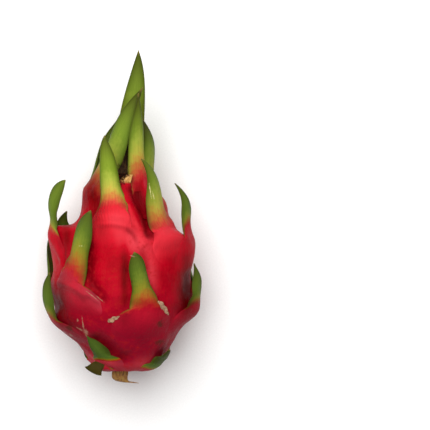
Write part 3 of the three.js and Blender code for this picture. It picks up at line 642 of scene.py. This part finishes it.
def rind_material(settings):
    """Fresh pitaya rind, made once. A leathery skin under a thin waxy bloom: satin, with soft wide
    highlights, red with paler and deeper clouds, fibres that run along the fruit, and bracts that
    turn from red through orange and yellow to green. Painted shade darkens the creases, the pit and
    some patches, and painted highlight and sheen lighten the ridges, other patches and some scales."""
    if RIND_NAME in bpy.data.materials:
        return bpy.data.materials[RIND_NAME]
    material, tree, place = new_material(RIND_NAME)
    mm = add(tree, "VectorMath", {0: place, "Scale": 1 / MM}, operation="SCALE").outputs[0]
    reads = {key: add(tree, "Attribute", attribute_name=key).outputs["Fac"] for key in (
        "green", "fresh", "tip_dark", "margin", "flank", "streak_u", "streak_v", "crease_shade", "wax_and_sheen",
        "paler_red_and_sheen", "dull", "dry", "tone")}

    # Clouds about 16 mm wide, mottling about 3 mm wide, and pores under a millimetre
    clouds = add(tree, "TexNoise", {"Vector": mm, "Scale": 1 / 16, "Detail": 3.0}).outputs["Fac"]
    mottle = add(tree, "TexNoise", {"Vector": mm, "Scale": 1 / 3, "Detail": 5.0,
                                    "Roughness": 0.6}).outputs["Fac"]
    pores = add(tree, "TexNoise", {"Vector": mm, "Scale": 1 / 0.7, "Detail": 3.0}).outputs["Fac"]
    # Fibres run along the fruit: 1 mm apart and about 12 mm long
    stretched = add(tree, "VectorMath", {0: mm, 1: (1.0, 0.09, 1.0)}, operation="MULTIPLY").outputs[0]
    fibres = add(tree, "TexNoise", {"Vector": stretched, "Scale": 1 / 1.1, "Detail": 4.0,
                                    "Roughness": 0.55}).outputs["Fac"]
    # The blade's own fibres follow it
    lengthwise = add(tree, "CombineXYZ", {"X": reads["streak_u"], "Y": reads["streak_v"]}).outputs[0]
    streaks = add(tree, "TexNoise", {"Vector": lengthwise, "Scale": 1.0, "Detail": 4.0,
                                     "Roughness": 0.6}).outputs["Fac"]

    red = add(tree, "ValToRGB", {"Fac": clouds}, stops=[
        (0.32, "#960012"), (0.5, settings.skin), (0.68, "#b8061e")]).outputs["Color"]
    mottled = add(tree, "ValToRGB", {"Fac": mottle}, stops=[
        (0.3, "#e2c8cc"), (0.5, "#ffffff"), (0.75, "#ffe6e6")]).outputs["Color"]
    red = add(tree, "Mix", {"Factor": 0.65, "A": red, "B": mottled}, **MULTIPLY).outputs["Result"]
    # Over it, in this order: duller and browner towards the stem, a lilac waxy bloom with painted sheen on
    # the older scales, a paler red with painted sheen on some scales and painted highlight on the ridges,
    # painted highlight where the tone is above 0, and painted shade in the creases and over the pit
    height = add(tree, "SeparateXYZ", {"Vector": mm}).outputs["Y"]
    low = add(tree, "MapRange", {"Value": height, "From Min": 12.0, "From Max": -45.0, "To Max": 0.75},
              interpolation_type="SMOOTHSTEP").outputs["Result"]
    painted_highlight = add(tree, "MapRange", {"Value": reads["tone"]}).outputs["Result"]
    for amount, tint in ((low, "#820c26"), (reads["wax_and_sheen"], "#9a3c4a"), (reads["paler_red_and_sheen"], "#cc2430"),
                         (painted_highlight, "#d8404a"), (reads["crease_shade"], "#5c0309")):
        red = add(tree, "Mix", {"Factor": amount, "A": red, "B": linear(tint)},
                  **COLOUR).outputs["Result"]

    # The turn from red to green, broken up a little by the blade's fibres and more by the mottling
    turned = reads["green"]
    for pattern, breadth in ((streaks, 0.03), (mottle, 0.36)):
        shift = add(tree, "Math", {0: pattern, 1: breadth, 2: -breadth / 2}, operation="MULTIPLY_ADD")
        turned = add(tree, "Math", {0: turned, 1: shift.outputs[0]}, operation="ADD").outputs[0]
    fresh = add(tree, "ValToRGB", {"Fac": turned}, stops=[
        (0.0, "#c4202a"), (0.16, "#c84438"), (0.34, "#c27c3c"), (0.52, "#bab048"), (0.72, "#a2ae42"),
        (0.95, settings.young)]).outputs["Color"]
    ageing = add(tree, "ValToRGB", {"Fac": turned}, stops=[
        (0.0, "#a80c1e"), (0.2, "#9c2c14"), (0.38, "#905c14"), (0.55, "#726e10"), (0.75, "#5a6b1e"),
        (1.0, settings.old)]).outputs["Color"]
    veins = add(tree, "ValToRGB", {"Fac": streaks}, stops=[
        (0.3, "#b9bfa6"), (0.55, "#ffffff"), (0.8, "#fff6d8")]).outputs["Color"]
    blade = add(tree, "Mix", {"Factor": reads["fresh"], "A": ageing, "B": fresh},
                **COLOUR).outputs["Result"]
    # Veined, and a deeper green towards the margins
    for amount, tint in ((0.3, veins), (reads["flank"], linear("#a2ad84"))):
        blade = add(tree, "Mix", {"Factor": amount, "A": blade, "B": tint}, **MULTIPLY).outputs["Result"]
    # Some blades are a dull dark olive, on the curled blade by the stem partly painted shade, and margins and
    # tips dry out dark
    for amount, tint in ((reads["dull"], "#38300e"), (reads["margin"], "#4a4a1b"),
                         (reads["tip_dark"], "#35330f")):
        blade = add(tree, "Mix", {"Factor": amount, "A": blade, "B": linear(tint)},
                    **COLOUR).outputs["Result"]
    is_blade = add(tree, "MapRange", {"Value": turned, "From Min": -0.02, "From Max": 0.12},
                   interpolation_type="SMOOTHSTEP").outputs["Result"]
    colour = add(tree, "Mix", {"Factor": is_blade, "A": red, "B": blade}, **COLOUR).outputs["Result"]
    # Painted shade where the tone is below 0, red and green alike
    painted_shade = add(tree, "MapRange", {"Value": reads["tone"], "From Min": 0.0,
                                  "From Max": -1.0}).outputs["Result"]
    colour = add(tree, "Mix", {"Factor": painted_shade, "A": colour, "B": linear("#a26a62")},
                 **MULTIPLY).outputs["Result"]
    # Papery where a bract has withered
    paper = add(tree, "ValToRGB", {"Fac": streaks}, stops=[
        (0.3, "#8a5a2c"), (0.5, "#c39454"), (0.7, "#dcb67c")]).outputs["Color"]
    colour = add(tree, "Mix", {"Factor": reads["dry"], "A": colour, "B": paper},
                 **COLOUR).outputs["Result"]

    # Painted shade over the mouth of the pit, then healed cork, bruises and pale scratches
    for marks, tint, strength in (([PIT_SHADE], "#22100a", 1.0), (CORKY_MARKS, "#a1745e", 0.8),
                                  (BRUISES, "#3c2414", 0.62), (PALE_MARKS, "#d8cf8e", 0.8)):
        mask = marked(tree, mm, mottle, pores, marks, strength)
        colour = add(tree, "Mix", {"Factor": mask, "A": colour, "B": linear(tint)},
                     **COLOUR).outputs["Result"]

    # Low relief, and a wax that the mottling makes more or less smooth
    bumps = 0.0
    for pattern, weight in ((fibres, 1.1), (mottle, 0.9), (pores, 0.25), (streaks, 0.5)):
        bumps = add(tree, "Math", {0: pattern, 1: weight, 2: bumps}, operation="MULTIPLY_ADD").outputs[0]
    bump = add(tree, "Bump", {"Height": bumps, "Strength": 0.5, "Distance": settings.relief})
    rough = add(tree, "MapRange", {"Value": mottle, "From Min": 0.3, "From Max": 0.7, "To Min": 0.36,
                                   "To Max": 0.52}).outputs["Result"]
    shader = add(tree, "BsdfPrincipled", {
        "Base Color": colour, "Roughness": rough, "Normal": bump.outputs["Normal"], "IOR": 1.25,
        "Specular IOR Level": 0.08})
    add(tree, "OutputMaterial", {"Surface": shader.outputs["BSDF"]})
    return material


def fibrous_material(name, fibres, detail, roughness, stops, relief, strength, dullness, shine=0.5):
    """Dead plant tissue, coloured and given its relief by one noise that is stretched along it.
    Fibres is how many of them there are to a metre along X, Y and Z."""
    material, tree, place = new_material(name)
    stretched = add(tree, "VectorMath", {0: place, 1: fibres}, operation="MULTIPLY").outputs[0]
    grain = add(tree, "TexNoise", {"Vector": stretched, "Scale": 1.0, "Detail": detail,
                                   "Roughness": roughness}).outputs["Fac"]
    colour = add(tree, "ValToRGB", {"Fac": grain}, stops=stops).outputs["Color"]
    bump = add(tree, "Bump", {"Height": grain, "Strength": strength, "Distance": relief})
    shader = add(tree, "BsdfPrincipled", {
        "Base Color": colour, "Roughness": dullness, "Specular IOR Level": shine,
        "Normal": bump.outputs["Normal"]})
    add(tree, "OutputMaterial", {"Surface": shader.outputs["BSDF"]})
    return material


def flower_material():
    """Withered flower tissue. Dead fibres 0.8 mm apart, brown, painted nearly black in the folds as shade
    and tan on the ridges, with no shine."""
    return fibrous_material(
        "Withered flower, dry and fibrous", (1250.0, 90.0, 1250.0), 5.0, 0.65,
        [(0.3, "#1c0f05"), (0.5, "#4a2f16"), (0.65, "#7d5a31"), (0.8, "#a9854f")],
        relief=0.0008, strength=0.9, dullness=0.9)


def paper_material():
    """Dry bract tissue. Papery and matt, beige with brown fibres."""
    return fibrous_material(
        "Dry bract tissue, papery and matt", (900.0, 900.0, 900.0), 4.0, 0.5,
        [(0.3, "#76523e"), (0.5, "#a07c60"), (0.7, "#bb9a7e")],
        relief=0.0003, strength=0.4, dullness=0.85, shine=0.2)


def stem_material():
    """Cut cactus stem. Woody and half dry: olive where bark is left, orange brown where it has
    torn, dull all over."""
    return fibrous_material(
        "Cut cactus stem, woody", (900.0, 220.0, 900.0), 5.0, 0.6,
        [(0.3, "#3e2c12"), (0.45, "#8a5c28"), (0.58, "#a07636"), (0.72, "#868440")],
        relief=0.0006, strength=0.8, dullness=0.8)


def floor_material():
    """Matt white card, so even that only the shadow shows on it."""
    material, tree, place = new_material("Card, matt white")
    tooth = add(tree, "TexNoise", {"Vector": place, "Scale": 900.0, "Detail": 2.0}).outputs["Fac"]
    colour = add(tree, "ValToRGB", {"Fac": tooth}, stops=[
        (0.3, "#f6f6f5"), (0.7, "#fbfbfa")]).outputs["Color"]
    shader = add(tree, "BsdfPrincipled", {"Base Color": colour, "Roughness": 0.9})
    add(tree, "OutputMaterial", {"Surface": shader.outputs["BSDF"]})
    return material


def seen_from_above(grid):
    """X and Y of each point from the body's middle, and its height over it."""
    return np.moveaxis(grid - CENTRE, -1, 0)


def fold_shade(grid):
    """How much painted shade a point gets from lying in a fold of the upper side, from 0 to most."""
    x, y, z = seen_from_above(grid)
    return 0.7 * smooth((-folds(x, y) - 0.1) / 3) * smooth(z / SIDE_FADE)


def painted_light_and_tone(grid):
    """Painted highlight and painted shade, and a few patches of the skin's own paler and browner colour: a
    sum of bells in turned ellipses, seen from above.
    """
    x, y, z = seen_from_above(grid)
    total = 0 * x
    for middle_x, middle_y, half_x, half_y, turn, strength in PAINTED_LIGHT_AND_TONE:
        cosine, sine = math.cos(math.radians(turn)), math.sin(math.radians(turn))
        right, up = x - middle_x, y - middle_y
        total = total + strength * bell(
            (right * cosine + up * sine) / half_x, (up * cosine - right * sine) / half_y)
    return np.clip(total, -1, 1) * smooth((z + 12) / 12)


def body_mesh(settings):
    """The skin over a grid of angles and distances along the outline. It gets painted shade where it lies
    low, in the pit most of all, and painted highlight on the ridges."""
    angle = round_it(settings.columns)
    along = np.linspace(0, outline.length, settings.rows)[:, None]
    grid = skin(angle, along)
    grid[..., 2] = np.maximum(grid[..., 2], FLAT_LIFT)
    r = outline.wall(along)[0]
    low = -relief(angle, along, r)
    # Painted shade in the angle above each bract and in the folds
    crease_shade = np.maximum(0.4 * smooth((low + 0.3) / 2.2) * smooth((r - 14) / 8), fold_shade(grid))
    in_pit = smooth((along - outline.rim_top) / 6)
    x, y, z = seen_from_above(grid)
    # Painted highlight on the ridges of the folds
    ridge_highlight = 0.7 * smooth((folds(x, y) - 0.2) / 1.4) * smooth(z / SIDE_FADE)
    return closed_mesh("rind", grid, attributes={
        # Painted shade in the creases and over the pit, painted highlight on the ridges
        "crease_shade": np.maximum(crease_shade, 0.9 * in_pit), "paler_red_and_sheen": ridge_highlight, "dry": 0.15 * in_pit,
        "tone": painted_light_and_tone(grid)})


def bract_mesh(b, settings):
    """One bract with the attributes that its colours read."""
    finer = 2 if math.cos(b["angle"]) > FRONT else 1
    grid, tip, share, across, rise = bract_surface(
        b, settings.columns * finer, settings.plate_rows * finer, settings.blade_rows)
    share = share[:, None]
    # From 0 at the scale's foot to 1 at the bract's root and beyond
    risen = np.clip(1 - share / share.min(), 0, 1)
    start, end = b["green"]
    # Green runs further down the margins than down the middle
    margins = b["edges"] * (0.12 * across ** 2 + 0.12 * across ** 8) * smooth((share + 0.16) / 0.16)
    green = (share + margins - start) / (end - start)
    length = np.linalg.norm(np.array(b["tip"]))
    # Each bract has its own part of the pattern, and so has each underside
    seed = 13.7 * b["angle"] + b["at"]
    return closed_mesh("bract", grid, end=tip, attributes={
        "green": np.clip(green, -0.3, 1.2),
        "fresh": b["fresh"],
        # A paler red on the scale, partly fresher red and partly painted highlight
        "paler_red_and_sheen": b["paler_red_and_sheen"] * smooth((risen - 0.1) / 0.75),
        "dull": b["dull"] * smooth((share + 0.05) / 0.2),
        "tip_dark": b["dark_tip"] * smooth((share - 0.5) / 0.5) ** 1.5,
        "margin": 0.65 * np.abs(across) ** 10 * smooth((share + 0.16) / 0.12),
        "streak_u": across * b["blade"][0] / FIBRES["apart"] + seed,
        "streak_v": share * length / FIBRES["length"] + np.where(rise < 0, UNDERSIDE, 0.0),
        # Painted shade in the folds, on the scale only
        "crease_shade": fold_shade(grid) * (share < 0),
        # A lilac waxy bloom with painted sheen over it, most at the margins
        "wax_and_sheen": b["wax_and_sheen"] * (0.35 + 0.65 * np.abs(across) ** 3) * smooth((risen - 0.12) / 0.6)
        * smooth((0.3 - share) / 0.3),
        "flank": np.abs(across) ** 2 * smooth((share + 0.05) / 0.2),
        "dry": np.maximum(b["dry"] * smooth((share - 0.1) / 0.4),
                          0.35 * b["dark_tip"] * smooth((share - 0.96) / 0.03)),
        # Painted highlight and painted shade patches, fading out along the blade
        "tone": painted_light_and_tone(grid) * smooth((0.5 - share) / 0.5),
    })


def flower_mesh(settings):
    """A tube along the axis whose radius is the profile's, fluted by three waves of the angle that
    drift along it and are cut off where they stand out most. Its end is ragged."""
    turn = round_it(settings.columns)
    share = np.linspace(0, 1, settings.rows)[:, None]
    profile = spline(FLOWER, share[:, 0])[0]
    radius, y = profile[:, :1], profile[:, 1:]
    flutes = (1 + 0.08 * np.cos(7 * turn + y / 20) + 0.06 * np.cos(17 * turn - y / 9 + 1)
              + 0.035 * np.sin(31 * turn + y / 4))
    ragged = 1.6 * smooth((share - 0.9) / 0.1) * (np.cos(5 * turn + 1) + np.cos(13 * turn)) - 0.8 * share
    radius = np.minimum(radius * flutes, radius * 1.08)
    grid = outward(turn) * radius[..., None] + ALONG_AXIS * (y + ragged)[..., None]
    grid[..., 0] += FLOWER_LEAN * share
    return closed_mesh("flower", grid + CENTRE)


def scrap_mesh(start, end, half_width, heights, columns=24, rows=28):
    """A curled sliver: an ellipse across, widest at about 0.4 of the way and ragged by a sine, carried
    between two places on the skin, with its edges turned up and a slow wave along it."""
    turn = round_it(columns)
    share = np.linspace(0.02, 0.98, rows)[:, None]
    across, rise = np.cos(turn), np.sin(turn)
    width = half_width * np.sin(np.pi * share ** 0.75) ** 0.7
    width = width * (1 + SCRAP["ragged"] * np.sin(17 * share + 2 * across))
    angle = np.radians(mix(start[0], end[0], share))
    along = mix(outline.at(start[1]), outline.at(end[1]), share)
    r = outline.wall(along)[0]
    heading = np.array([r[0, 0] * np.radians(end[0] - start[0]), along[-1, 0] - along[0, 0]])
    heading = heading / np.linalg.norm(heading)
    aside = across * width
    height = (mix(*heights, share) + SCRAP["curl"] * np.abs(across) ** 2 * width / half_width
              + rise * SCRAP["thick"] / 2 + SCRAP["wave"] * np.sin(9 * share))
    return closed_mesh("scrap", skin(angle + aside * heading[1] / r, along - aside * heading[0], height))


def stem_mesh(settings):
    """Ellipses along a curve, each with grooves, shrinking to a dry point."""
    turn = round_it(settings.columns)
    share = np.linspace(0, 1, settings.rows)
    sections = spline(STEM, share)[0]
    grooves = 1 + 0.07 * np.cos(5 * turn + 3 * share[:, None]) + 0.04 * np.sin(13 * turn - 9 * share[:, None])
    dx = sections[:, :1] * grooves * np.cos(turn)
    dz = sections[:, :1] * STEM_FLATNESS * grooves * np.sin(turn)
    tilt = dx * 0.6 * share[:, None]
    grid = np.stack([sections[:, 1:2] + dx, sections[:, 2:] + tilt, dz], -1)
    grid[..., 0] += LEAN["stem"]
    return closed_mesh("stem", grid + CENTRE)


class RindSettings(bpy.types.PropertyGroup):
    columns: bpy.props.IntProperty(
        name="Columns", description="Points round the body", default=400, min=24)
    rows: bpy.props.IntProperty(
        name="Rows", description="Rings from the stem to the pit's floor", default=240, min=24)
    relief: bpy.props.FloatProperty(
        name="Relief", description="Depth of the fibres and pores", default=0.0007,
        unit="LENGTH", subtype="DISTANCE")
    skin: bpy.props.FloatVectorProperty(
        name="Skin", description="The middle tone of the red skin", size=4, min=0, max=1,
        default=linear("#a80016"), subtype="COLOR")
    young: bpy.props.FloatVectorProperty(
        name="Young green", description="The green of a fresh bract", size=4, min=0, max=1,
        default=linear("#82982e"), subtype="COLOR")
    old: bpy.props.FloatVectorProperty(
        name="Old green", description="The green of an ageing bract", size=4, min=0, max=1,
        default=linear("#4b6322"), subtype="COLOR")


class BractSettings(bpy.types.PropertyGroup):
    columns: bpy.props.IntProperty(
        name="Columns", description="Points round a blade", default=64, min=8)
    plate_rows: bpy.props.IntProperty(
        name="Plate rows", description="Rings on the scale below a blade", default=30, min=4)
    blade_rows: bpy.props.IntProperty(
        name="Blade rows", description="Rings on a free blade", default=52, min=4)


class DryPartSettings(bpy.types.PropertyGroup):
    columns: bpy.props.IntProperty(
        name="Columns", description="Points round the flower and the stem", default=160, min=12)
    rows: bpy.props.IntProperty(
        name="Rows", description="Rings along the flower and the stem", default=120, min=8)


class StageSettings(bpy.types.PropertyGroup):
    key_power: bpy.props.FloatProperty(
        name="Main light", description="Power of the large lamp", default=14.5, unit="POWER")
    sky: bpy.props.FloatProperty(
        name="Room light", description="Brightness of the white room all round", default=0.2)
    distance: bpy.props.FloatProperty(
        name="Camera distance", description="From the camera to the body's axis", default=2.4,
        unit="LENGTH", subtype="DISTANCE")


class FRUIT_OT_body(bpy.types.Operator):
    """Builds the body's skin"""

    bl_idname = "fruit.body"
    bl_label = "Body"

    def execute(self, context):
        settings = context.scene.pitaya_rind
        place_piece("rind", body_mesh(settings), rind_material(settings), "skin", "fruit")
        return {"FINISHED"}


class FRUIT_OT_bracts(bpy.types.Operator):
    """Builds every bract with the scale below it"""

    bl_idname = "fruit.bracts"
    bl_label = "Bracts"

    def execute(self, context):
        material = rind_material(context.scene.pitaya_rind)
        for number, b in enumerate(BRACTS, 1):
            mesh = bract_mesh(b, context.scene.pitaya_bracts)
            place_piece(f"bract_{number:02d}", mesh, material, "skin", "fruit")
        return {"FINISHED"}


class FRUIT_OT_flower(bpy.types.Operator):
    """Builds the withered flower in the crown"""

    bl_idname = "fruit.flower"
    bl_label = "Withered flower"

    def execute(self, context):
        mesh = flower_mesh(context.scene.pitaya_dry)
        place_piece("flower", mesh, flower_material(), "dry_flower", "withered_flower")
        return {"FINISHED"}


class FRUIT_OT_scraps(bpy.types.Operator):
    """Builds the dry scraps that curl off the skin"""

    bl_idname = "fruit.scraps"
    bl_label = "Dry scraps"

    def execute(self, context):
        material = paper_material()
        for number, scrap in enumerate(SCRAPS, 1):
            place_piece(f"scrap_{number}", scrap_mesh(*scrap), material, "dry_flower", "fruit")
        return {"FINISHED"}


class FRUIT_OT_stem(bpy.types.Operator):
    """Builds the stub of the stem"""

    bl_idname = "fruit.stem"
    bl_label = "Stem"

    def execute(self, context):
        mesh = stem_mesh(context.scene.pitaya_dry)
        place_piece("stem", mesh, stem_material(), "stem", "stem_stub")
        return {"FINISHED"}


class FRUIT_OT_stage(bpy.types.Operator):
    """Builds the floor, the lights and the camera"""

    bl_idname = "fruit.stage"
    bl_label = "Stage"

    def execute(self, context):
        settings = context.scene.pitaya_stage
        scene = context.scene
        corners = [(x * FLOOR_HALF, y * FLOOR_HALF, 0) for x, y in ((-1, -1), (1, -1), (1, 1), (-1, 1))]
        mesh = bpy.data.meshes.new("floor")
        mesh.from_pydata(corners, [], [(0, 1, 2, 3)])
        mesh.materials.append(floor_material())
        floor = bpy.data.objects.new("floor", mesh)
        scene.collection.objects.link(floor)

        world = bpy.data.worlds.new("white room")
        world.use_nodes = True
        background = world.node_tree.nodes["Background"]
        background.inputs["Color"].default_value = linear("#ffffff")
        background.inputs["Strength"].default_value = settings.sky
        scene.world = world

        lamp = bpy.data.lights.new("softbox", "AREA")
        lamp.shape = "SQUARE"
        lamp.size = SOFTBOX["size"]
        lamp.energy = settings.key_power
        softbox = bpy.data.objects.new("softbox", lamp)
        softbox.location = SOFTBOX["place"]
        softbox.rotation_mode = "QUATERNION"
        softbox.rotation_quaternion = (
            Vector(SOFTBOX["aim"]) - softbox.location).to_track_quat("-Z", "Y")
        scene.collection.objects.link(softbox)

        view = bpy.data.cameras.new("camera")
        view.sensor_width = SENSOR_WIDTH
        view.lens = SENSOR_WIDTH * settings.distance / (PICTURE_WIDTH * MM)
        view.clip_end = 50
        camera = bpy.data.objects.new("camera", view)
        camera.location = (PICTURE_MIDDLE[0] * MM, PICTURE_MIDDLE[1] * MM,
                           CENTRE[2] * MM + settings.distance)
        scene.collection.objects.link(camera)
        scene.camera = camera
        scene.view_settings.view_transform = "Standard"
        return {"FINISHED"}


class VIEW3D_PT_dragon_fruit(bpy.types.Panel):
    bl_label = "Dragon Fruit"
    bl_space_type = "VIEW_3D"
    bl_region_type = "UI"
    bl_category = "Dragon Fruit"

    def draw(self, context):
        for group in ("pitaya_rind", "pitaya_bracts", "pitaya_dry", "pitaya_stage"):
            box = self.layout.box()
            settings = getattr(context.scene, group)
            for key in settings.__annotations__:
                box.prop(settings, key)
        for operator in OPERATORS:
            self.layout.operator(operator.bl_idname)


SETTINGS = {
    "pitaya_rind": RindSettings, "pitaya_bracts": BractSettings, "pitaya_dry": DryPartSettings,
    "pitaya_stage": StageSettings,
}
OPERATORS = (FRUIT_OT_stage, FRUIT_OT_body, FRUIT_OT_bracts, FRUIT_OT_scraps, FRUIT_OT_flower,
             FRUIT_OT_stem)
CLASSES = (*SETTINGS.values(), *OPERATORS, VIEW3D_PT_dragon_fruit)


def register():
    for made in CLASSES:
        bpy.utils.register_class(made)
    for key, group in SETTINGS.items():
        setattr(bpy.types.Scene, key, bpy.props.PointerProperty(type=group))


def unregister():
    for key in SETTINGS:
        delattr(bpy.types.Scene, key)
    for made in reversed(CLASSES):
        bpy.utils.unregister_class(made)


def main():
    register()
    bpy.ops.fruit.stage()
    bpy.ops.fruit.body()
    bpy.ops.fruit.bracts()
    bpy.ops.fruit.scraps()
    bpy.ops.fruit.flower()
    bpy.ops.fruit.stem()


if __name__ == "__main__":
    main()
